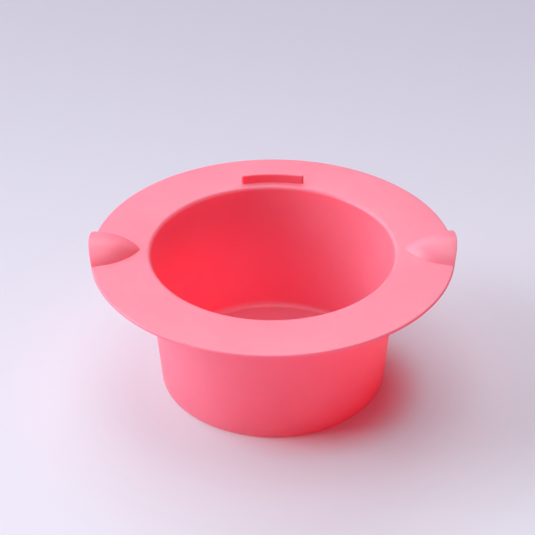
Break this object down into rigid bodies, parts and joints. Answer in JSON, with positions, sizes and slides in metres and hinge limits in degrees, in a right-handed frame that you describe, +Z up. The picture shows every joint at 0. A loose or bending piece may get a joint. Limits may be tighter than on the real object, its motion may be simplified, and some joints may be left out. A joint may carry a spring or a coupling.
{
  "type": "wax warmer pot",
  "caption": "Soft silicone pot for a wax warmer: a tapered round cup with a wide flat brim, hollow finger grips for lifting it out and an upright bar for wiping the stick.",
  "frame": {"origin": "centre of the flat underside of the cup", "axes": "+Z up along the axis of the cup, +X towards the right finger grip, +Y towards the scraper bar"},
  "size_m": [0.1696, 0.168, 0.075],
  "materials": {
    "silicone": "smooth matte moulded silicone, coral pink"
  },
  "bodies": {
    "root": {"cup_floor": "silicone", "cup_foot": "silicone", "cup_wall": "silicone", "mouth_lip": "silicone", "brim": "silicone", "right_grip": "silicone", "left_grip": "silicone", "scraper_bar": "silicone"}
  },
  "joints": []
}
